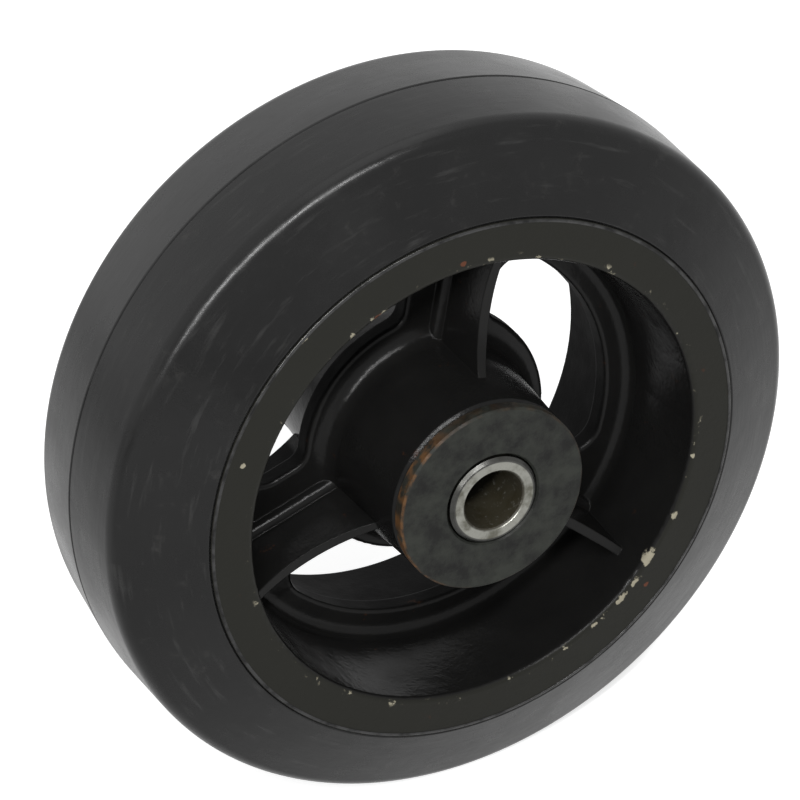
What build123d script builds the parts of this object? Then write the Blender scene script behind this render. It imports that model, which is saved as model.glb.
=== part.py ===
from build123d import *
import os
from math import cos, radians, sin

# Moulded-on rubber wheel with a spoked iron centre and a caged roller bearing.
# Millimetres. The origin is the wheel's centre, the wheel spins about Y and +Z is up.
# The face that looks along -Y is called the front.

# Tyre
tread_radius = 76.2           # at the parting line in the middle of the tread
shoulder_radius = 75.0        # where each half of the tread ends
shoulder_offset = 17.8        # from the middle plane to the shoulder
shoulder_round = 4.0

# Iron centre: rim
rim_width = 50.8
bond_radius = 57.7            # rubber meets iron here on both faces
lock_height = 2.8             # hidden ridge that keys the rubber to the rim
lock_width = 20.0
lock_slope = 4.0
rim_bore_radius = 48.9        # open edge of the cup
rim_draft = 1.4               # the cup narrows by this much down to the web
rim_edge_round = 1.2
cup_corner_round = 2.6

# Iron centre: web, windows and ribs
web_thickness = 4.6
spoke_count = 3
first_spoke_angle = 80.2      # seen from the front, from +X towards +Z
spoke_width = 19.6
window_inner_radius = 27.0
window_outer_radius = 41.7
window_inner_corner_round = 3.6
window_outer_corner_round = 6.0
window_edge_round = 1.0
rib_root_thickness = 3.4
rib_root_round = 2.0
rib_top_thickness = 1.6
rib_height_at_hub = 19.0      # from the middle plane
rib_height_between = 15.6     # lowest point of the arched edge
rib_height_at_rim = 18.4

# Iron centre: hub barrel
hub_radius = 20.1
barrel_draft = 1.8            # the barrel grows by this much down to the web
barrel_fillet = 3.8
hub_end_chamfer = 0.6

# Axle bushing and thrust washers
axle_bore_diameter = 12.9
bushing_diameter = 19.05
bushing_length = 61.9
bushing_chamfer = 0.6
bushing_bore_chamfer = 0.4
washer_diameter = 40.2
washer_thickness = 3.0
washer_edge_chamfer = 0.4
washer_hole_clearance = 0.35
washer_setback = 0.5          # the bushing stands proud of the washer by this much
end_play = 0.3                # washer to hub, on each side

# Roller bearing
race_bore_radius = 15.1
race_wall = 1.0
roller_count = 10
roller_clearance = 0.04       # radial, at the bushing and at the race
roller_end_gap = 0.3
roller_edge_chamfer = 0.4
cage_ring_thickness = 1.8
cage_side_clearance = 0.3
cage_end_gap = 0.5            # cage to thrust washer
cage_bar_radius = 0.75

# Grease fitting, driven into the barrel behind the web, in line with the lowest window
fitting_offset = 14.0         # from the middle plane, towards the back
fitting_shank_radius = 3.1
fitting_shank_length = 3.6
fitting_hex_size = 7.0        # across the flats
fitting_hex_height = 2.6
fitting_neck_radius = 2.2
fitting_neck_height = 1.6
fitting_head_radius = 3.0
fitting_head_height = 2.8
fitting_head_taper = 12        # degrees
fitting_mouth_radius = 1.3
fitting_mouth_depth = 2.7
fitting_ball_radius = 1.2
spot_face_radius = 5.2
spot_face_depth = 0.6
grease_passage_radius = 1.4
overcut = 1.0                 # cutting solids run past the metal by this much

# What follows from the sizes above
rim_half = rim_width / 2
web_half = web_thickness / 2
bushing_radius = bushing_diameter / 2
bushing_half = bushing_length / 2
washer_outer_face = bushing_half - washer_setback
washer_inner_face = washer_outer_face - washer_thickness
hub_half = washer_inner_face - end_play
hub_bore_radius = race_bore_radius + race_wall
cage_half = washer_inner_face - cage_end_gap
cage_ring_inner_face = cage_half - cage_ring_thickness
roller_half = cage_ring_inner_face - roller_end_gap
roller_radius = (race_bore_radius - bushing_radius) / 2 - roller_clearance
pitch_radius = (race_bore_radius + bushing_radius) / 2
roller_pitch = 360 / roller_count
spoke_pitch = 360 / spoke_count
window_round_room = 0.42 * (window_outer_radius - window_inner_radius)
fitting_angle = first_spoke_angle + 1.5 * spoke_pitch
barrel_slope = barrel_draft / (hub_half - web_half)
barrel_at_fitting = hub_radius + barrel_slope * (hub_half - fitting_offset)
spot_face_at = barrel_at_fitting - spot_face_depth
fitting_height = fitting_hex_height + fitting_neck_height + fitting_head_height


def spun(points_and_arcs):
    """Solid of revolution about Y from an outline drawn as radius and height."""
    with BuildPart() as made:
        with BuildSketch(Plane.XY):
            with BuildLine():
                points_and_arcs()
            make_face()
        revolve(axis=Axis.Y)
    return made.part


def fitting_plane(radius):
    """Plane across the grease fitting's line, at a radius from the wheel's axis."""
    out = Vector(cos(radians(fitting_angle)), 0, sin(radians(fitting_angle)))
    return Plane(origin=out * radius + Vector(0, fitting_offset, 0), x_dir=(0, 1, 0), z_dir=out)


def ring(inner, outer, low, high, chamfer_by):
    """Flat ring about Y with chamfered edges."""
    body = extrude(Plane.XZ.offset(-high) * (Circle(outer) - Circle(inner)), high - low)
    return chamfer(body.edges().filter_by(GeomType.CIRCLE), chamfer_by)


def bond_points(side):
    """Rim outside, from the middle to one face, as radius and height."""
    half_lock = lock_width / 2
    return [
        (bond_radius + lock_height, side * half_lock),
        (bond_radius, side * (half_lock + lock_slope)),
        (bond_radius, side * rim_half),
    ]


def tyre():
    def outline():
        Polyline(bond_points(-1)[::-1] + bond_points(1))
        Polyline(
            (bond_radius, rim_half),
            (shoulder_radius, shoulder_offset),
            (tread_radius, 0),
            (shoulder_radius, -shoulder_offset),
            (bond_radius, -rim_half),
        )

    body = spun(outline)
    circles = body.edges().filter_by(GeomType.CIRCLE)
    shoulders = circles.filter_by(lambda e: abs(e.radius - shoulder_radius) < 0.01)
    return fillet(shoulders, shoulder_round)


def core_blank():
    """Rim, web and barrel before the windows, ribs and bores."""
    barrel_root = hub_radius + barrel_draft
    cup_root = rim_bore_radius - rim_draft

    def outline():
        Polyline(
            (hub_bore_radius, -hub_half),
            (hub_radius, -hub_half),
            (barrel_root, -web_half),
            (cup_root, -web_half),
            (rim_bore_radius, -rim_half),
            *bond_points(-1)[::-1],
            *bond_points(1),
            (rim_bore_radius, rim_half),
            (cup_root, web_half),
            (barrel_root, web_half),
            (hub_radius, hub_half),
            (hub_bore_radius, hub_half),
            close=True,
        )

    body = spun(outline)
    circles = body.edges().filter_by(GeomType.CIRCLE)

    def at(radius):
        return circles.filter_by(lambda e: abs(e.radius - radius) < 0.01)

    body = fillet(at(barrel_root), barrel_fillet)
    circles = body.edges().filter_by(GeomType.CIRCLE)
    body = fillet(at(cup_root), cup_corner_round)
    circles = body.edges().filter_by(GeomType.CIRCLE)
    body = fillet(at(rim_bore_radius), rim_edge_round)
    circles = body.edges().filter_by(GeomType.CIRCLE)
    return chamfer(at(hub_radius), hub_end_chamfer)


def spoke_angles():
    return [first_spoke_angle + i * spoke_pitch for i in range(spoke_count)]


def window_cutter():
    """The see-through windows between the spokes, with round corners."""
    window = Circle(window_outer_radius) - Circle(window_inner_radius)
    for angle in spoke_angles():
        reach = window_outer_radius + overcut
        spoke = Rectangle(reach, spoke_width, align=(Align.MIN, Align.CENTER))
        window = window - Rotation(0, 0, angle) * spoke
    middle = (window_inner_radius + window_outer_radius) / 2
    outer = window.vertices().filter_by(lambda v: Vector(v).length > middle)
    window = fillet(outer, min(window_outer_corner_round, window_round_room))
    inner = window.vertices().filter_by(lambda v: Vector(v).length < window_inner_radius + 0.01)
    window = fillet(inner, min(window_inner_corner_round, window_round_room))
    return extrude(Plane.XZ * window, web_half + overcut, both=True)


def round_window_edges(body):
    """Round the windows' edges on both faces of the web."""
    low = window_inner_radius - window_edge_round / 2
    high = window_outer_radius + window_edge_round / 2

    def on_window(edge):
        ends = [Vector(v) for v in edge.vertices()] + [edge @ 0.5]
        flat = all(abs(abs(p.Y) - web_half) < 0.01 for p in ends)
        return flat and all(low < Vector(p.X, p.Z).length < high for p in ends)

    return fillet(body.edges().filter_by(on_window), window_edge_round)


def rib(angle, side):
    """Tapered gusset from the barrel to the rim, on the middle of a spoke, with an arched edge."""
    inner = (hub_bore_radius + hub_radius) / 2
    outer = (rim_bore_radius + bond_radius) / 2
    root = rib_root_thickness / 2
    top = rib_top_thickness / 2
    foot = root + rib_root_round
    foot_top = web_half + rib_root_round
    reach = rib_height_at_hub + overcut
    middle = (hub_radius + rim_bore_radius) / 2
    with BuildPart() as made:
        with BuildSketch(Plane.YZ.offset(inner)):
            with BuildLine():
                Polyline((foot_top, -root), (reach, -top), (reach, top), (foot_top, root))
                RadiusArc((foot_top, root), (web_half, foot), -rib_root_round)
                Polyline((web_half, foot), (0, foot), (0, -foot), (web_half, -foot))
                RadiusArc((web_half, -foot), (foot_top, -root), -rib_root_round)
            make_face()
        extrude(amount=outer - inner)
        with BuildSketch(Plane.XY):
            with BuildLine():
                Polyline((hub_radius, rib_height_at_hub), (inner, rib_height_at_hub), (inner, 0))
                Polyline((inner, 0), (outer, 0), (outer, rib_height_at_rim))
                Line((outer, rib_height_at_rim), (rim_bore_radius, rib_height_at_rim))
                ThreePointArc(
                    (rim_bore_radius, rib_height_at_rim),
                    (middle, rib_height_between),
                    (hub_radius, rib_height_at_hub),
                )
            make_face()
        extrude(amount=foot, both=True, mode=Mode.INTERSECT)
    body = made.part
    if side < 0:
        body = mirror(body, about=Plane.XZ)
    return Rotation(0, -angle, 0) * body


def core():
    body = round_window_edges(core_blank() - window_cutter())
    for angle in spoke_angles():
        for side in (-1, 1):
            body = body + rib(angle, side)
    depth = spot_face_at - hub_bore_radius + overcut
    seat = fitting_plane(spot_face_at)
    body = body - extrude(seat * Circle(spot_face_radius), spot_face_depth + overcut)
    body = body - extrude(seat * Circle(fitting_shank_radius), -fitting_shank_length)
    body = body - extrude(seat * Circle(grease_passage_radius), -depth)
    return body


def bearing_race():
    body = ring(race_bore_radius, hub_bore_radius, -hub_half, hub_half, race_wall / 4)
    seat = fitting_plane(race_bore_radius - overcut)
    return body - extrude(seat * Circle(grease_passage_radius), race_wall + 2 * overcut)


def spanner_bushing():
    bore_radius = axle_bore_diameter / 2
    section = Circle(bushing_radius) - Circle(bore_radius)
    body = extrude(Plane.XZ.offset(-bushing_half) * section, bushing_length)
    rims = body.edges().filter_by(GeomType.CIRCLE)
    outer = rims.filter_by(lambda e: e.radius > bore_radius + 0.01)
    body = chamfer(outer, bushing_chamfer)
    rims = body.edges().filter_by(GeomType.CIRCLE)
    return chamfer(rims.filter_by(lambda e: e.radius < bore_radius + 0.01), bushing_bore_chamfer)


def thrust_washer(side):
    low, high = sorted((side * washer_inner_face, side * washer_outer_face))
    hole = bushing_radius + washer_hole_clearance
    return ring(hole, washer_diameter / 2, low, high, washer_edge_chamfer)


def around(angle, radius):
    """Place on the pitch circle, at the angle seen from the front."""
    return Pos(radius * cos(radians(angle)), 0, radius * sin(radians(angle)))


def rod(radius, half_length):
    return extrude(Plane.XZ.offset(-half_length) * Circle(radius), 2 * half_length)


def roller(index):
    body = rod(roller_radius, roller_half)
    body = chamfer(body.edges().filter_by(GeomType.CIRCLE), roller_edge_chamfer)
    return around(index * roller_pitch, pitch_radius) * body


def cage_bar_places():
    return [around((i + 0.5) * roller_pitch, pitch_radius) for i in range(roller_count)]


def cage_ring(side):
    low, high = sorted((side * cage_ring_inner_face, side * cage_half))
    inner = bushing_radius + cage_side_clearance
    outer = race_bore_radius - cage_side_clearance
    body = ring(inner, outer, low, high, cage_ring_thickness / 6)
    for place in cage_bar_places():
        body = body - place * rod(cage_bar_radius, cage_half + overcut)
    return body


def cage_bars():
    return Compound(children=[place * rod(cage_bar_radius, cage_half) for place in cage_bar_places()])


def grease_fitting():
    """Straight fitting: shank, hexagon, neck and rounded head, open down the middle."""
    seat = fitting_plane(spot_face_at)
    neck = seat.offset(fitting_hex_height)
    head = neck.offset(fitting_neck_height)
    tip = head.offset(fitting_head_height)
    hexagon = RegularPolygon(fitting_hex_size / 2, 6, major_radius=False)
    body = extrude(seat * Circle(fitting_shank_radius), -fitting_shank_length)
    body = body + extrude(seat * hexagon, fitting_hex_height)
    body = body + extrude(neck * Circle(fitting_neck_radius), fitting_neck_height)
    body = body + extrude(head * Circle(fitting_head_radius), fitting_head_height, taper=fitting_head_taper)
    body = body - extrude(tip * Circle(fitting_mouth_radius), -fitting_mouth_depth)
    bore_length = fitting_height + fitting_shank_length
    return body - extrude(tip * Circle(grease_passage_radius / 2), -bore_length)


def grease_ball():
    centre = spot_face_at + fitting_height - fitting_mouth_depth + fitting_ball_radius
    return fitting_plane(centre) * Sphere(fitting_ball_radius)


def write(node, body):
    export_step(body, f"parts/{node}.step")


def main():
    os.makedirs("parts", exist_ok=True)
    write("tyre", tyre())
    write("core", core())
    write("bearing_race", bearing_race())
    write("spanner_bushing", spanner_bushing())
    write("thrust_washer_front", thrust_washer(-1))
    write("thrust_washer_back", thrust_washer(1))
    write("cage_ring_front", cage_ring(-1))
    write("cage_ring_back", cage_ring(1))
    write("cage_bars", cage_bars())
    for index in range(roller_count):
        write(f"roller_{index + 1:02d}", roller(index))
    write("grease_fitting", grease_fitting())
    write("grease_ball", grease_ball())


main()
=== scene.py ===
# %% [markdown]
# # A mould-on rubber wheel
# The object is a small cart wheel. An iron casting forms the rim, the web, three ribbed spokes and
# the hub. A thick rubber tyre is moulded straight onto the rim. A hardened steel bushing turns the
# hub into a roller bearing, and a thrust washer closes each end.
#
# The solids already exist as a CAD model. This lesson keeps their places and sizes, makes the tyre
# again as a Geometry Nodes sweep, and gives every piece the finish that it has on the real wheel.

# %% Load the frame
import math

import bpy
from mathutils import Matrix, Vector


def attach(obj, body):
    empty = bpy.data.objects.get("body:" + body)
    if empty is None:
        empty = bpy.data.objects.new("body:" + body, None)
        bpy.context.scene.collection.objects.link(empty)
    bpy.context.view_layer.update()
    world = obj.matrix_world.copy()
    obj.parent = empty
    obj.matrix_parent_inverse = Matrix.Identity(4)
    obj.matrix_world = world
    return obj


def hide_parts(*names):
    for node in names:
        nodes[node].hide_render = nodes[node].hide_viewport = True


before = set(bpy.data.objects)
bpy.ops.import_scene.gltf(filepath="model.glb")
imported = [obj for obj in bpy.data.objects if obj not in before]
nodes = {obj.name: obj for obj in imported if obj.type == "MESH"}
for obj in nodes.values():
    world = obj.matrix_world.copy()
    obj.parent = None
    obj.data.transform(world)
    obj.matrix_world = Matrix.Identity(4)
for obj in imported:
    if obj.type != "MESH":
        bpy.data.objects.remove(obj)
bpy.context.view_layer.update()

print("pieces in the frame:", len(nodes))

# %% [markdown]
# ## Sizes that the scene repeats
# Only the tyre is drawn again here, so only its sizes are needed, in metres. They are the CAD
# model's own values: the radius in the middle of the tread, the shoulder where the tread ends, the
# face where rubber meets iron, and the ridge that keys the rubber to the rim.

# %% Tyre sizes
MM = 0.001
TREAD_RADIUS = 76.2 * MM
SHOULDER_RADIUS = 75.0 * MM
SHOULDER_OFFSET = 17.8 * MM
SHOULDER_ROUND = 4.0 * MM
HALF_WIDTH = 25.4 * MM
BOND_RADIUS = 57.7 * MM
LOCK_HEIGHT = 2.8 * MM
LOCK_HALF_WIDTH = 10.0 * MM
LOCK_SLOPE = 4.0 * MM
print("tyre", 2 * TREAD_RADIUS, "m across and", 2 * HALF_WIDTH, "m wide")

# %% [markdown]
# ## Camera
# The photograph was taken from the front left and from above, with a long lens, which keeps the far
# side of the wheel almost as large as the near side. The camera is aimed with `to_track_quat`: its
# own -Z axis looks along the line of sight, and its Y axis stays upright.

# %% Make the camera
camera_data = bpy.data.cameras.new("camera")
camera_data.lens = 134.4
camera_data.sensor_width = 36.0
camera = bpy.data.objects.new("camera", camera_data)
camera.location = (-0.237886, -0.456793, 0.316269)
line_of_sight = Vector((0.38934, 0.76320, -0.51566))
camera.rotation_euler = line_of_sight.to_track_quat("-Z", "Y").to_euler()
bpy.context.scene.collection.objects.link(camera)
bpy.context.scene.camera = camera
bpy.context.scene.view_settings.view_transform = "Standard"
print("camera is", round(camera.location.length, 3), "m from the wheel's centre")

# %% [markdown]
# ## Two helpers for node trees
# Every finish below is a small node tree. `add` makes one node, chooses its settings and fills its
# inputs, either with a number or with the output of another node. Written this way, a tree reads
# from top to bottom like a recipe.

# %% Node helpers
def add(tree, kind, inputs=None, **settings):
    """Add a node, choose its settings, and fill its inputs with values or with other outputs."""
    node = tree.nodes.new(kind)
    for name, value in settings.items():
        setattr(node, name, value)
    for key, value in (inputs or {}).items():
        if isinstance(value, bpy.types.NodeSocket):
            tree.links.new(value, node.inputs[key])
        else:
            node.inputs[key].default_value = value
    return node


def new_finish(name):
    """A new material: returns it with its tree, its shader and the place on the piece."""
    material = bpy.data.materials.new(name)
    material.use_nodes = True
    tree = material.node_tree
    shader = tree.nodes["Principled BSDF"]
    place = add(tree, "ShaderNodeTexCoord").outputs["Object"]
    return material, tree, shader, place


print("helpers are ready")

# %% [markdown]
# Four more helpers stand for the steps that every finish repeats: a noise of a given grain size, a
# soft threshold, a mix of two colours, and a bump. The grain size is given in millimetres, because
# that is how one thinks about sand, rust and scratches.

# %% Texture helpers
def noise(tree, place, grain, detail=3.0, roughness=0.55):
    """Noise with lumps about one grain across, given in millimetres."""
    inputs = {"Vector": place, "Scale": 1.0 / (grain * MM), "Detail": detail, "Roughness": roughness}
    return add(tree, "ShaderNodeTexNoise", inputs).outputs[0]


def fade(tree, value, low, high, start=0.0, end=1.0):
    """A soft step: start below low, end above high."""
    node = add(
        tree,
        "ShaderNodeMapRange",
        {"Value": value, "From Min": low, "From Max": high, "To Min": start, "To Max": end},
        interpolation_type="SMOOTHSTEP",
    )
    return node.outputs[0]


def blend_colours(tree, factor, first, second):
    """The first colour where the factor is 0, the second where it is 1."""
    node = add(tree, "ShaderNodeMix", {0: factor, 6: first, 7: second}, data_type="RGBA")
    return node.outputs[2]


def bump(tree, height, depth, normal=None):
    """Tilt the surface as if height, from 0 to 1, rose by depth in millimetres."""
    inputs = {"Height": height, "Distance": depth * MM}
    if normal is not None:
        inputs["Normal"] = normal
    return add(tree, "ShaderNodeBump", inputs).outputs[0]


print("texture helpers are ready")

# %% [markdown]
# The wheel is round, so most of its patterns depend on two distances: how far a point lies from the
# axis, and how far from the middle plane. `calc` is one step of arithmetic, and `grey` writes a
# colour.

# %% Helpers for a round piece
def calc(tree, operation, first, second=0.0):
    """One step of arithmetic."""
    return add(tree, "ShaderNodeMath", {0: first, 1: second}, operation=operation).outputs[0]


def radius_of(tree, place):
    """Distance from the wheel's axis, in metres."""
    flat = add(tree, "ShaderNodeVectorMath", {0: place, 1: (1.0, 0.0, 1.0)}, operation="MULTIPLY")
    return add(tree, "ShaderNodeVectorMath", {0: flat.outputs[0]}, operation="LENGTH").outputs["Value"]


def height_of(tree, place):
    """Distance from the wheel's middle plane, in metres, the same on both sides."""
    across = add(tree, "ShaderNodeSeparateXYZ", {"Vector": place}).outputs["Y"]
    return calc(tree, "ABSOLUTE", across)


def grey(level, tint=(1.0, 1.0, 1.0)):
    """A grey with a slight tint, as a colour with alpha."""
    return (level * tint[0], level * tint[1], level * tint[2], 1.0)


print("helpers for a round piece are ready")

# %% [markdown]
# ## Finish 1: moulded black rubber
# Tyre rubber is dark, dull and slightly grey where dust and the mould's release powder stay on it.
# Its gloss is weak, but at a flat angle it still mirrors a white room, so the tread turns grey at
# its edge. Three things show up close: a fine grain, long lumps from the way that the rubber flowed
# in the mould, and scuffs that run around the wheel. The back half of the tread is painted greyer,
# a painted reflection of the white room, which it faces at a flatter angle. The mould line between
# the two halves is painted near black, as painted shade in its groove.
#
# The lumps and the scuffs are noise on Object coordinates. To make the scuffs long, the coordinates
# are first turned into angle and radius, and then stretched.

# %% Make the rubber
def around_the_axis(tree, place, stretch):
    """Coordinates that follow the wheel: along the circle, shrunk by stretch, radius and width."""
    axes = add(tree, "ShaderNodeSeparateXYZ", {"Vector": place})
    angle = calc(tree, "ARCTAN2", axes.outputs["Z"], axes.outputs["X"])
    along = calc(tree, "MULTIPLY", angle, TREAD_RADIUS / stretch)
    radius = radius_of(tree, place)
    return add(
        tree, "ShaderNodeCombineXYZ", {"X": along, "Y": radius, "Z": axes.outputs["Y"]}
    ).outputs[0]


def rubber_finish():
    material, tree, shader, place = new_finish("tyre_rubber_finish")
    across = add(tree, "ShaderNodeSeparateXYZ", {"Vector": place}).outputs["Y"]
    flow = noise(tree, place, 16.0, 3.0)
    scuff = noise(tree, around_the_axis(tree, place, 9.0), 1.5, 4.0, 0.6)
    grain = noise(tree, place, 0.5, 3.0, 0.6)
    dust = noise(tree, place, 4.0, 5.0, 0.65)
    side_wall = blend_colours(tree, flow, grey(0.003), grey(0.006))
    # Painted reflection: the back half of the tread is painted greyer than the front half.
    back_half_painted_reflection = fade(tree, across, -0.1 * MM, 0.1 * MM)
    tread = blend_colours(tree, back_half_painted_reflection, grey(0.010), grey(0.026))
    # Painted shade: the groove of the mould line is painted near black.
    mould_line_painted_shade = fade(tree, height_of(tree, place), 0.15 * MM, 0.5 * MM, 1.0, 0.0)
    tread = blend_colours(tree, mould_line_painted_shade, tread, grey(0.002))
    on_tread = fade(tree, radius_of(tree, place), SHOULDER_RADIUS - 0.8 * MM, SHOULDER_RADIUS - 0.2 * MM)
    colour = blend_colours(tree, on_tread, side_wall, tread)
    colour = blend_colours(tree, fade(tree, scuff, 0.55, 0.8), colour, grey(0.020, (1.0, 1.0, 0.98)))
    colour = blend_colours(tree, fade(tree, dust, 0.58, 0.85), colour, grey(0.020, (1.0, 0.98, 0.93)))
    tree.links.new(colour, shader.inputs["Base Color"])
    rough_lumps = fade(tree, flow, 0.35, 0.65, 0.21, 0.30)
    rough_grain = fade(tree, grain, 0.3, 0.7, 0.0, 0.04)
    tree.links.new(calc(tree, "ADD", rough_lumps, rough_grain), shader.inputs["Roughness"])
    lumps = bump(tree, flow, 0.20)
    scratches = bump(tree, scuff, 0.03, lumps)
    tree.links.new(bump(tree, grain, 0.010, scratches), shader.inputs["Normal"])
    shader.inputs["IOR"].default_value = 1.32
    shader.inputs["Sheen Weight"].default_value = 0.06
    shader.inputs["Sheen Roughness"].default_value = 0.35
    return material


rubber = rubber_finish()
print("made", rubber.name)

# %% [markdown]
# ## The tyre's section
# A moulded tyre is the same all the way round, so it is a sweep: one section, carried around a
# circle. The section is drawn here as a closed line of points, as radius and height. Each point
# also says how much its corner is rounded, and that number travels with the point as an attribute.
#
# Two details are drawn that the plain solid doesn't have: the narrow groove that the two halves of
# the mould leave in the middle of the tread, and the small round edge where the rubber ends at the
# iron rim.

# %% Draw the section
GROOVE_HALF_WIDTH = 0.45 * MM
GROOVE_DEPTH = 0.40 * MM
GROOVE_FLOOR_ROUND = 0.15 * MM
GROOVE_EDGE_DROP = 0.03 * MM
GROOVE_EDGE_ROUND = 0.12 * MM
LIP = 0.5 * MM
LIP_ROUND = 0.3 * MM


def point_on(first, second, distance):
    """The point at this distance from the first point towards the second."""
    run = Vector(second) - Vector(first)
    return tuple(Vector(first) + run.normalized() * distance)


def half_section(side):
    """Corners of one half of the section, from the tread's middle to the hidden ridge."""
    face_edge = (BOND_RADIUS, HALF_WIDTH)
    shoulder = (SHOULDER_RADIUS, SHOULDER_OFFSET)
    face_start = point_on(face_edge, shoulder, LIP)
    corners = [
        ((TREAD_RADIUS - GROOVE_DEPTH, 0.0), GROOVE_FLOOR_ROUND),
        ((TREAD_RADIUS - GROOVE_EDGE_DROP, GROOVE_HALF_WIDTH), GROOVE_EDGE_ROUND),
        (shoulder, SHOULDER_ROUND),
        (face_start, LIP_ROUND),
        ((BOND_RADIUS, HALF_WIDTH - LIP), 0.0),
        ((BOND_RADIUS, LOCK_HALF_WIDTH + LOCK_SLOPE), 0.0),
        ((BOND_RADIUS + LOCK_HEIGHT, LOCK_HALF_WIDTH), 0.0),
    ]
    return [((radius, side * height), bend) for (radius, height), bend in corners]


def draw_section(name, corners, circle_radius):
    """A closed line through the corners, each of which carries its own rounding."""
    mesh = bpy.data.meshes.new(name)
    count = len(corners)
    mesh.from_pydata(
        [(radius - circle_radius, height, 0.0) for (radius, height), bend in corners],
        [(i, (i + 1) % count) for i in range(count)],
        [],
    )
    corner_round = mesh.attributes.new("corner_round", "FLOAT", "POINT")
    corner_round.data.foreach_set("value", [bend for place, bend in corners])
    return mesh


tyre_corners = half_section(1)[::-1] + half_section(-1)[1:]
section_mesh = draw_section("tyre_section", tyre_corners, TREAD_RADIUS)
print("section has", len(tyre_corners), "corners")

# %% [markdown]
# ## The sweep as a Geometry Nodes tree
# The tree turns the section into a curve, rounds its corners by the attribute, and sweeps it with
# Curve to Mesh around a circle. The circle lies flat, so the result is turned to put the wheel's
# axis along Y. The circle's radius, the numbers of steps and the finish are named inputs of the
# tree, so that the same tree can sweep other rings of the wheel.

# %% Build the sweep tree
def sweep_tree():
    tree = bpy.data.node_groups.new("sweep_round_the_wheel", "GeometryNodeTree")
    face = tree.interface
    face.new_socket("Section", in_out="INPUT", socket_type="NodeSocketGeometry")
    face.new_socket("Circle radius", in_out="INPUT", socket_type="NodeSocketFloat")
    face.new_socket("Steps around", in_out="INPUT", socket_type="NodeSocketInt")
    face.new_socket("Steps in a corner", in_out="INPUT", socket_type="NodeSocketInt")
    face.new_socket("Finish", in_out="INPUT", socket_type="NodeSocketMaterial")
    face.new_socket("Ring", in_out="OUTPUT", socket_type="NodeSocketGeometry")
    given = add(tree, "NodeGroupInput").outputs
    drawn = add(tree, "GeometryNodeMeshToCurve", {"Mesh": given["Section"]})
    bend = add(tree, "GeometryNodeInputNamedAttribute", {"Name": "corner_round"}, data_type="FLOAT")
    rounded = add(
        tree,
        "GeometryNodeFilletCurve",
        {
            "Curve": drawn.outputs["Curve"],
            "Radius": bend.outputs["Attribute"],
            "Count": given["Steps in a corner"],
            "Limit Radius": True,
        },
        mode="POLY",
    )
    circle = add(
        tree,
        "GeometryNodeCurvePrimitiveCircle",
        {"Resolution": given["Steps around"], "Radius": given["Circle radius"]},
    )
    swept = add(
        tree,
        "GeometryNodeCurveToMesh",
        {"Curve": circle.outputs["Curve"], "Profile Curve": rounded.outputs["Curve"]},
    )
    turned = add(
        tree,
        "GeometryNodeTransform",
        {"Geometry": swept.outputs["Mesh"], "Rotation": (math.radians(90.0), 0.0, 0.0)},
    )
    real = add(tree, "GeometryNodeRealizeInstances", {"Geometry": turned.outputs["Geometry"]})
    painted = add(
        tree,
        "GeometryNodeSetMaterial",
        {"Geometry": real.outputs["Geometry"], "Material": given["Finish"]},
    )
    add(tree, "NodeGroupOutput", {"Ring": painted.outputs["Geometry"]})
    return tree


ring_tree = sweep_tree()
print("the tree has", len(ring_tree.nodes), "nodes")

# %% [markdown]
# The tree runs on a section, and `new_from_object` turns its result into a plain mesh, so that the
# finished piece carries no modifier. A modifier's input is set by the socket's identifier.

# %% Sweep the tyre
def input_key(tree, name):
    """The identifier of one of the tree's named inputs."""
    return next(item.identifier for item in tree.interface.items_tree if item.name == name)


def run_tree(tree, mesh, values):
    """Run a tree on a mesh and return the result as a plain mesh."""
    carrier = bpy.data.objects.new("carrier", mesh)
    bpy.context.scene.collection.objects.link(carrier)
    modifier = carrier.modifiers.new("tree", "NODES")
    modifier.node_group = tree
    for name, value in values.items():
        modifier[input_key(tree, name)] = value
    evaluated = carrier.evaluated_get(bpy.context.evaluated_depsgraph_get())
    result = bpy.data.meshes.new_from_object(evaluated)
    carrier.modifiers.remove(modifier)
    bpy.data.objects.remove(carrier)
    return result


tyre_mesh = run_tree(
    ring_tree,
    section_mesh,
    {"Circle radius": TREAD_RADIUS, "Steps around": 240, "Steps in a corner": 10, "Finish": rubber},
)
tyre_mesh.name = "tyre_sweep"
print("tyre mesh:", len(tyre_mesh.vertices), "points", len(tyre_mesh.polygons), "faces")

# %% [markdown]
# The sweep's faces must point outwards. `bmesh` checks that: a closed shell has a positive volume
# when they do. Edges that turn by more than 40 degrees stay sharp, all others are shaded smooth.

# %% Finish the tyre
import bmesh

SHARP_TURN = math.radians(40.0)


def tidy_mesh(mesh):
    """Point the faces outwards, mark the sharp edges and return the volume."""
    shell = bmesh.new()
    shell.from_mesh(mesh)
    if shell.calc_volume(signed=True) < 0:
        bmesh.ops.reverse_faces(shell, faces=shell.faces)
    for edge in shell.edges:
        edge.smooth = len(edge.link_faces) == 2 and edge.calc_face_angle() < SHARP_TURN
    for polygon in shell.faces:
        polygon.smooth = True
    volume = shell.calc_volume(signed=True)
    shell.to_mesh(mesh)
    shell.free()
    return volume


def show(name, mesh, body, replaced=()):
    """Put a finished mesh in the scene, on its body, in place of the CAD nodes named last."""
    piece = bpy.data.objects.new(name, mesh)
    bpy.context.scene.collection.objects.link(piece)
    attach(piece, body)
    if replaced:
        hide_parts(*replaced)
    return piece


tyre_volume = tidy_mesh(tyre_mesh)
tyre_piece = show("tyre_moulded", tyre_mesh, "wheel", ["tyre"])
print("tyre volume", round(tyre_volume * 1e6, 1), "cubic centimetres")

# %% [markdown]
# ## Finish 2: dipped black paint on a sand casting
# The iron centre was cast in sand and dipped in black paint. On the edges that things knock against,
# the paint has chipped, and the iron below shows bright or has turned to rust. A noise could place
# all the chips, but the large ones are what makes this wheel look used, so they are listed one by
# one, by their radius and their angle from +X towards +Z. A noise only makes their edges ragged.

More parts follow.
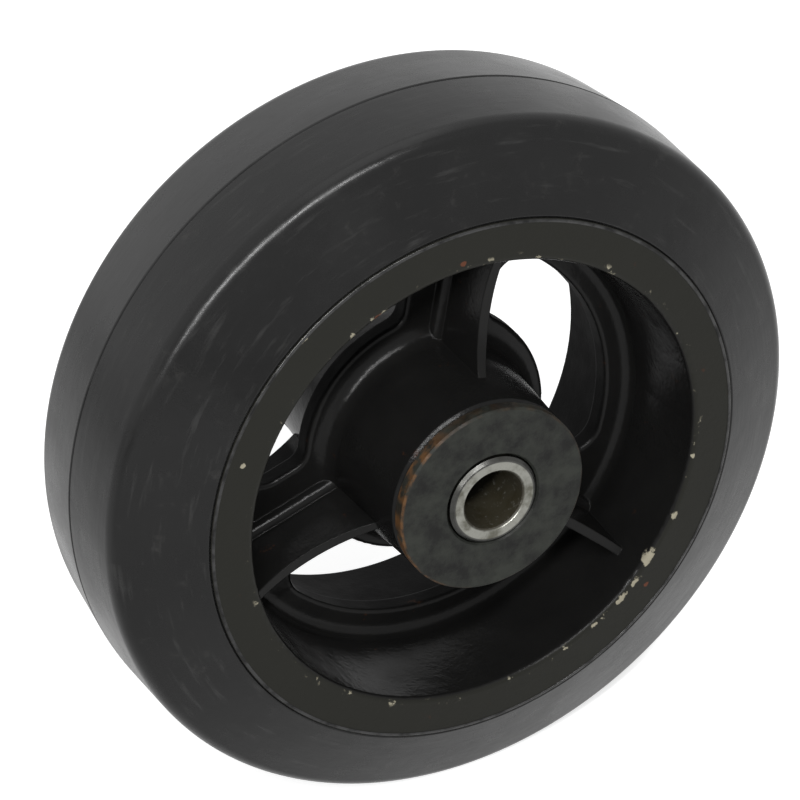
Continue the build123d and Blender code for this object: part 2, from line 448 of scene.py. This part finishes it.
# %% Place the large chips
CHIPS_ON_FRONT = [
    # radius in mm, angle in degrees, length along the circle in mm, breadth in mm
    (49.4, 324.0, 4.0, 1.3),
    (49.8, 336.0, 1.8, 1.1),
    (50.0, 317.0, 2.4, 1.0),
    (50.1, 312.0, 3.0, 1.2),
    (49.7, 352.0, 1.0, 0.8),
    (49.9, 303.0, 1.6, 0.8),
    (54.2, 159.0, 1.3, 1.0),
    (57.2, 131.0, 1.6, 0.9),
]
RUST_ON_FRONT = [(49.2, 117.0, 2.8, 1.4), (51.0, 95.0, 1.2, 1.0), (53.0, 318.0, 1.4, 1.0)]
RAGGED_EDGE = 2.2


def spots_on_front(tree, place, spots, edge_noise):
    """1 inside each oval spot on the rim's front face, with an edge that the noise makes ragged."""
    axes = add(tree, "ShaderNodeSeparateXYZ", {"Vector": place})
    angle = calc(tree, "ARCTAN2", axes.outputs["Z"], axes.outputs["X"])
    radius = radius_of(tree, place)
    ragged = calc(tree, "MULTIPLY", calc(tree, "SUBTRACT", edge_noise, 0.5), RAGGED_EDGE)
    found = 0.0
    for spot_radius, degrees, length, breadth in spots:
        turn = (degrees + 180.0) % 360.0 - 180.0
        along = calc(tree, "SUBTRACT", angle, math.radians(turn))
        along = calc(tree, "MULTIPLY", along, 2.0 * spot_radius / length)
        outwards = calc(tree, "SUBTRACT", radius, spot_radius * MM)
        outwards = calc(tree, "MULTIPLY", outwards, 2.0 / (breadth * MM))
        offset = add(tree, "ShaderNodeCombineXYZ", {"X": along, "Y": outwards}).outputs[0]
        reach = add(tree, "ShaderNodeVectorMath", {0: offset}, operation="LENGTH").outputs["Value"]
        inside = fade(tree, calc(tree, "ADD", reach, ragged), 0.8, 1.1, 1.0, 0.0)
        found = calc(tree, "MAXIMUM", found, inside)
    front = fade(tree, axes.outputs["Y"], -HALF_WIDTH + 1.5 * MM, -HALF_WIDTH + 2.0 * MM, 1.0, 0.0)
    return calc(tree, "MULTIPLY", found, front)


print(len(CHIPS_ON_FRONT), "large chips and", len(RUST_ON_FRONT), "spots of rust")

# %% [markdown]
# The paint is glossy, but the sand's grain shows through it, so its highlights are broken into
# sparks. A casting has no knife edges either, and the Bevel node gives the model's sharp edges that
# softness in the light. The rim's faces are rubbed dull and greenish. Behind the web the paint is
# rough, and its colour is painted near black there as painted shade in the hollow. The small chips
# come from a noise, and lie along the rim's inner edge, which is a circle of known radius and height.

# %% Make the painted iron
RIM_FACE_START = 48.0 * MM
RIM_FACE_END = 57.0 * MM
CHIPPED_CIRCLE = 49.8 * MM
CHIPPED_REACH = 1.3 * MM
HUB_FOOT_RADIUS = 22.0 * MM
WEB_FRONT = -2.0 * MM


def near(tree, value, centre, reach):
    """1 where the value is at the centre, fading to 0 at the given reach."""
    gap = calc(tree, "ABSOLUTE", calc(tree, "SUBTRACT", value, centre))
    return fade(tree, gap, 0.0, reach, 1.0, 0.0)


def painted_iron_finish():
    material, tree, shader, place = new_finish("painted_iron_finish")
    across = add(tree, "ShaderNodeSeparateXYZ", {"Vector": place}).outputs["Y"]
    radius = radius_of(tree, place)
    sand = noise(tree, place, 0.9, 3.0, 0.6)
    lumps = noise(tree, place, 6.0, 3.0, 0.55)
    tone = noise(tree, place, 11.0, 4.0, 0.6)
    face = fade(tree, height_of(tree, place), HALF_WIDTH - 0.6 * MM, HALF_WIDTH - 0.1 * MM)
    past_the_cup = fade(tree, radius, RIM_FACE_START - 1.0 * MM, RIM_FACE_START + 1.0 * MM)
    rim_face = calc(tree, "MULTIPLY", face, past_the_cup)
    behind = fade(tree, across, WEB_FRONT, WEB_FRONT + 0.8 * MM)
    past_the_hub = fade(tree, radius, HUB_FOOT_RADIUS, HUB_FOOT_RADIUS + 2.0 * MM)
    off_the_face = calc(tree, "SUBTRACT", 1.0, face)
    hollow_painted_shade = calc(tree, "MULTIPLY", calc(tree, "MULTIPLY", behind, past_the_hub), off_the_face)

    colour = blend_colours(tree, tone, grey(0.005), grey(0.010, (1.0, 0.98, 0.94)))
    # Painted shade: behind the web and past the hub, the colour is painted near black.
    colour = blend_colours(tree, hollow_painted_shade, colour, grey(0.001))
    colour = blend_colours(tree, rim_face, colour, grey(0.012, (1.0, 1.0, 0.80)))
    rust_specks = fade(tree, noise(tree, place, 5.0, 5.0, 0.7), 0.66, 0.74)
    colour = blend_colours(tree, rust_specks, colour, (0.030, 0.014, 0.008, 1.0))
    rust = spots_on_front(tree, place, RUST_ON_FRONT, noise(tree, place, 1.6, 3.0, 0.6))
    colour = blend_colours(tree, rust, colour, (0.085, 0.030, 0.016, 1.0))
    edge = calc(tree, "MULTIPLY", near(tree, radius, CHIPPED_CIRCLE, CHIPPED_REACH), face)
    small_chips = fade(tree, noise(tree, place, 3.2, 4.0, 0.7), 0.60, 0.66)
    small_chips = calc(tree, "MULTIPLY", small_chips, edge)
    large_chips = spots_on_front(tree, place, CHIPS_ON_FRONT, noise(tree, place, 1.1, 3.0, 0.6))
    chips = calc(tree, "MAXIMUM", small_chips, large_chips)
    colour = blend_colours(tree, chips, colour, (0.26, 0.24, 0.18, 1.0))
    tree.links.new(colour, shader.inputs["Base Color"])

    short_of_the_edge = fade(tree, radius, RIM_FACE_END - 0.2 * MM, RIM_FACE_END, 1.0, 0.0)
    rubbed = calc(tree, "MULTIPLY", rim_face, short_of_the_edge)
    dull = calc(tree, "ADD", calc(tree, "MULTIPLY", rubbed, 0.2), calc(tree, "MULTIPLY", hollow_painted_shade, 0.5))
    gloss = fade(tree, lumps, 0.3, 0.7, 0.16, 0.24)
    tree.links.new(calc(tree, "ADD", gloss, dull), shader.inputs["Roughness"])
    soft_edges = add(tree, "ShaderNodeBevel", {"Radius": 0.5 * MM}, samples=6).outputs["Normal"]
    cast_lumps = bump(tree, lumps, 0.12, soft_edges)
    tree.links.new(bump(tree, sand, 0.05, cast_lumps), shader.inputs["Normal"])
    shader.inputs["IOR"].default_value = 1.20
    return material


painted_iron = painted_iron_finish()
print("made", painted_iron.name)

# %% [markdown]
# ## Finish 3: phosphated washer
# The thrust washers are stamped steel with a grey green phosphate coat, a dull crystalline skin that
# holds oil. Rust starts at the outer edge, where the stamping left the coat thin, and here it has
# taken hold on one side.

# %% Make the phosphate coat
WASHER_RADIUS = 20.1 * MM


def phosphate_finish():
    material, tree, shader, place = new_finish("phosphate_finish")
    radius = radius_of(tree, place)
    cloud = fade(tree, noise(tree, place, 5.0, 6.0, 0.65), 0.32, 0.68)
    crystal = noise(tree, place, 0.35, 2.0, 0.6)
    coat = blend_colours(tree, cloud, grey(0.004, (0.95, 1.0, 0.88)), grey(0.024, (0.92, 1.0, 0.84)))
    edge = fade(tree, radius, WASHER_RADIUS - 0.6 * MM, WASHER_RADIUS - 0.2 * MM)
    to_the_right = add(tree, "ShaderNodeSeparateXYZ", {"Vector": place}).outputs["X"]
    rusty_side = fade(tree, to_the_right, -16.0 * MM, -8.0 * MM, 1.0, 0.15)
    patches = fade(tree, noise(tree, place, 3.0, 4.0, 0.6), 0.38, 0.6)
    rusty = calc(tree, "MULTIPLY", edge, calc(tree, "MULTIPLY", patches, rusty_side))
    rust = blend_colours(tree, crystal, (0.05, 0.024, 0.010, 1.0), (0.13, 0.065, 0.026, 1.0))
    tree.links.new(blend_colours(tree, rusty, coat, rust), shader.inputs["Base Color"])
    tree.links.new(fade(tree, cloud, 0.3, 0.7, 0.38, 0.55), shader.inputs["Roughness"])
    dents = bump(tree, cloud, 0.06)
    tree.links.new(bump(tree, crystal, 0.015, dents), shader.inputs["Normal"])
    shader.inputs["IOR"].default_value = 1.24
    return material


phosphate = phosphate_finish()
print("made", phosphate.name)

# %% [markdown]
# ## Finish 4: turned steel
# The bushing is turned and ground steel. The tool leaves fine circles around the axis, so its bump
# is a noise stretched around the circle. Inside the bore the steel has a thin brown rust, because
# no roller polishes it there, and the same dark brown on the bore's edge is painted shade. The rim
# of its ends is painted dark, as painted shade. The same recipe, with other numbers, makes the
# bearing's hardened steel, which is clean and oiled, and the folded cage.

# %% Make the turned steels
BORE_RADIUS = 6.45 * MM
GROUND_RING_RADIUS = 8.45 * MM
BUSHING_HALF = 30.95 * MM


def turned_steel_finish(name, bright, dark, rough, groove, rust_and_painted_shade=0.0):
    """Turned steel. Where the last argument is 1, its bore is rusty, with painted shade on its edge, and
    the rim of its end has painted shade.
    """
    material, tree, shader, place = new_finish(name)
    radius = radius_of(tree, place)
    circles = noise(tree, around_the_axis(tree, place, 40.0), 0.22, 2.0, 0.5)
    stain = noise(tree, place, 3.0, 4.0, 0.6)
    colour = blend_colours(tree, fade(tree, stain, 0.4, 0.7), bright, dark)
    # Painted shade: the outer rim of the bushing's end is painted dark.
    end_rim_painted_shade = fade(tree, radius, GROUND_RING_RADIUS, GROUND_RING_RADIUS + 0.25 * MM, 0.0, 0.85 * rust_and_painted_shade)
    at_the_end = fade(tree, height_of(tree, place), BUSHING_HALF - 1.15 * MM, BUSHING_HALF - 0.75 * MM)
    colour = blend_colours(tree, calc(tree, "MULTIPLY", end_rim_painted_shade, at_the_end), colour, grey(0.03))
    # Rust inside the bore. Where this dark brown reaches the bore's edge, it is painted shade.
    inside = fade(tree, radius, BORE_RADIUS + 0.15 * MM, BORE_RADIUS + 0.4 * MM, 1.0, 0.0)
    spots = fade(tree, noise(tree, place, 1.4, 4.0, 0.65), 0.2, 0.45)
    rusty = calc(tree, "MULTIPLY", calc(tree, "MULTIPLY", inside, spots), rust_and_painted_shade)
    colour = blend_colours(tree, rusty, colour, (0.016, 0.013, 0.005, 1.0))
    tree.links.new(colour, shader.inputs["Base Color"])
    tree.links.new(calc(tree, "SUBTRACT", 1.0, rusty), shader.inputs["Metallic"])
    gloss = fade(tree, stain, 0.3, 0.7, rough, rough + 0.15)
    dull = calc(tree, "ADD", gloss, calc(tree, "MULTIPLY", rusty, 0.3))
    tree.links.new(dull, shader.inputs["Roughness"])
    tree.links.new(bump(tree, circles, groove), shader.inputs["Normal"])
    return material


bright_steel = turned_steel_finish(
    "turned_steel_finish",
    bright=grey(0.22, (1.0, 1.0, 0.90)),
    dark=grey(0.10, (1.0, 0.98, 0.80)),
    rough=0.26,
    groove=0.006,
    rust_and_painted_shade=1.0,
)
bearing_steel = turned_steel_finish(
    "oiled_bearing_finish",
    bright=grey(0.36, (1.0, 0.96, 0.86)),
    dark=grey(0.22, (1.0, 0.92, 0.78)),
    rough=0.15,
    groove=0.003,
)
cage_steel = turned_steel_finish(
    "cage_steel_finish",
    bright=grey(0.30, (1.0, 0.93, 0.80)),
    dark=grey(0.16, (1.0, 0.9, 0.75)),
    rough=0.34,
    groove=0.008,
)
print("made", bright_steel.name, bearing_steel.name, cage_steel.name)

# %% [markdown]
# ## The rim's outer edge
# Where the iron ends at the rubber, the casting has a small rounded edge that stands a hair proud
# of the rim's face. Use has worn its paint to bare, dark iron. It is less than a millimetre wide,
# but it draws a bright line where the lamp meets it. The same tree sweeps both rings, from a small
# section and in a finish of their own.

# %% Sweep the rim's edges
EDGE_WIDTH = 0.75 * MM
EDGE_PROUD = 0.12 * MM
EDGE_ROUND = 0.45 * MM
EDGE_DEPTH = 0.5 * MM
EDGE_INNER_ROUND = 0.1 * MM


def rim_edge_section(side):
    """Corners of the raised edge, from the rim's face to the rubber."""
    inner = BOND_RADIUS - EDGE_WIDTH
    top = HALF_WIDTH + EDGE_PROUD
    bottom = top - EDGE_DEPTH
    corners = [
        ((inner, bottom), 0.0),
        ((inner, top), EDGE_INNER_ROUND),
        ((BOND_RADIUS, top), EDGE_ROUND),
        ((BOND_RADIUS, bottom), 0.0),
    ]
    return [((radius, side * height), bend) for (radius, height), bend in corners]


worn_edge = turned_steel_finish(
    "worn_edge_finish", bright=grey(0.055), dark=grey(0.020), rough=0.26, groove=0.003
)
for side, side_name in ((-1, "front"), (1, "back")):
    edge_mesh = run_tree(
        ring_tree,
        draw_section("rim_edge_section", rim_edge_section(side), BOND_RADIUS),
        {"Circle radius": BOND_RADIUS, "Steps around": 240, "Steps in a corner": 6, "Finish": worn_edge},
    )
    edge_mesh.name = "rim_edge_" + side_name
    tidy_mesh(edge_mesh)
    show("rim_edge_" + side_name, edge_mesh, "wheel")
    print(edge_mesh.name, len(edge_mesh.polygons), "faces")

# %% [markdown]
# ## Finish 5: zinc on the grease fitting
# Grease fittings are plated with zinc, which is pale, a little blue, and clouded. Old grease lies on
# it as a brown film, in patches.

# %% Make the zinc plate
def zinc_finish():
    material, tree, shader, place = new_finish("zinc_plate_finish")
    cloud = noise(tree, place, 1.2, 4.0, 0.6)
    film = fade(tree, noise(tree, place, 2.2, 3.0, 0.6), 0.5, 0.68)
    plate = blend_colours(tree, cloud, grey(0.40, (0.96, 1.0, 1.04)), grey(0.60, (0.97, 1.0, 1.03)))
    tree.links.new(blend_colours(tree, film, plate, (0.10, 0.07, 0.03, 1.0)), shader.inputs["Base Color"])
    tree.links.new(fade(tree, film, 0.0, 1.0, 1.0, 0.2), shader.inputs["Metallic"])
    tree.links.new(fade(tree, cloud, 0.3, 0.7, 0.25, 0.45), shader.inputs["Roughness"])
    tree.links.new(bump(tree, cloud, 0.02), shader.inputs["Normal"])
    return material


zinc = zinc_finish()
print("made", zinc.name)

# %% [markdown]
# ## Give the CAD pieces their finishes
# The frame's own meshes keep their shapes. Only the material in their slots changes. The rollers
# aren't listed one by one: whatever isn't in the list is bearing steel.

# %% Assign the finishes
finish_of = {
    "tyre": rubber,
    "core": painted_iron,
    "bearing_race": bearing_steel,
    "spanner_bushing": bright_steel,
    "thrust_washer_front": phosphate,
    "thrust_washer_back": phosphate,
    "cage_ring_front": cage_steel,
    "cage_ring_back": cage_steel,
    "cage_bars": cage_steel,
    "grease_fitting": zinc,
    "grease_ball": bearing_steel,
}
for name, node in nodes.items():
    finish = finish_of.get(name, bearing_steel)
    for material_slot in node.material_slots:
        material_slot.material = finish
    if not node.material_slots:
        node.data.materials.append(finish)
print("finished", len(nodes), "pieces")

# %% [markdown]
# ## Floor
# The wheel stands on its tread on a plain white floor. The floor's own light is only for the camera
# and for reflections, which makes it white without throwing more light on the wheel, and the soft
# shadow under the wheel stays. In the reflections that light fades towards the left, as a white
# sweep does where it leaves the studio's lights, and so the rubber is darker on that side.

# %% Make the floor
FLOOR_REACH = 3.0
FLOOR_GLOW = 0.7
SWEEP_DARK_END = -0.15
SWEEP_BRIGHT_END = 0.10


def floor_finish():
    material, tree, shader, place = new_finish("floor_finish")
    shader.inputs["Base Color"].default_value = (0.8, 0.8, 0.8, 1.0)
    shader.inputs["Roughness"].default_value = 0.9
    shader.inputs["Specular IOR Level"].default_value = 0.0
    path = add(tree, "ShaderNodeLightPath").outputs
    mirrored = calc(tree, "MAXIMUM", path["Is Glossy Ray"], path["Is Transmission Ray"])
    to_the_right = add(tree, "ShaderNodeSeparateXYZ", {"Vector": place}).outputs["X"]
    sweep = fade(tree, to_the_right, SWEEP_DARK_END, SWEEP_BRIGHT_END, 0.05, 0.75)
    mirrored = calc(tree, "MULTIPLY", mirrored, sweep)
    seen = calc(tree, "MAXIMUM", path["Is Camera Ray"], mirrored)
    glow = add(tree, "ShaderNodeEmission", {"Color": (1.0, 1.0, 1.0, 1.0)})
    tree.links.new(calc(tree, "MULTIPLY", seen, FLOOR_GLOW), glow.inputs["Strength"])
    both = add(tree, "ShaderNodeAddShader", {0: shader.outputs[0], 1: glow.outputs[0]})
    tree.links.new(both.outputs[0], tree.nodes["Material Output"].inputs["Surface"])
    return material


floor_mesh = bpy.data.meshes.new("floor")
floor_mesh.from_pydata(
    [(x * FLOOR_REACH, y * FLOOR_REACH, -TREAD_RADIUS) for x, y in ((-1, -1), (1, -1), (1, 1), (-1, 1))],
    [],
    [(0, 1, 2, 3)],
)
floor_mesh.materials.append(floor_finish())
floor = bpy.data.objects.new("floor", floor_mesh)
bpy.context.scene.collection.objects.link(floor)
print("floor at", -TREAD_RADIUS, "m")

# %% [markdown]
# ## Light
# The room is white and even. A long, narrow lamp stands above the camera, a little to the left. It
# lies along the tyre's shoulder, so its reflection is a long, thin line there, and on the casting's
# fillets too. A wide, weaker lamp hangs above.

# %% Make the room
def make_room(strength):
    world = bpy.data.worlds.new("room")
    bpy.context.scene.world = world
    world.use_nodes = True
    tree = world.node_tree
    path = add(tree, "ShaderNodeLightPath").outputs
    seen = calc(tree, "MAXIMUM", path["Is Camera Ray"], path["Is Glossy Ray"])
    seen = calc(tree, "MAXIMUM", seen, path["Is Transmission Ray"])
    background = tree.nodes["Background"]
    background.inputs["Color"].default_value = (1.0, 1.0, 1.0, 1.0)
    tree.links.new(fade(tree, seen, 0.0, 1.0, strength, 1.0), background.inputs["Strength"])


def make_lamp(name, direction, distance, length, width, power, along=(1.0, 0.0, 0.0)):
    """A soft oblong lamp that looks at the wheel's centre, with its long side along a direction."""
    data = bpy.data.lights.new(name, "AREA")
    data.shape = "RECTANGLE"
    data.size = length
    data.size_y = width
    data.energy = power
    lamp = bpy.data.objects.new(name, data)
    away = Vector(direction).normalized()
    lamp_y = away.cross(Vector(along)).normalized()
    lamp_x = lamp_y.cross(away)
    lamp.location = away * distance
    lamp.rotation_euler = Matrix((lamp_x, lamp_y, away)).transposed().to_euler()
    bpy.context.scene.collection.objects.link(lamp)


make_room(strength=0.30)
make_lamp(
    "long_lamp",
    direction=(-0.38, -0.68, 0.63),
    distance=1.0,
    length=1.0,
    width=0.06,
    power=12.0,
    along=(0.85, 0.0, 0.53),
)
make_lamp("lamp_above", direction=(0.0, 0.1, 1.0), distance=1.2, length=0.9, width=0.9, power=2.0)
print("room and lamps are on")

# %% [markdown]
# ## Last step

# %% Finish
print("the scene is finished")
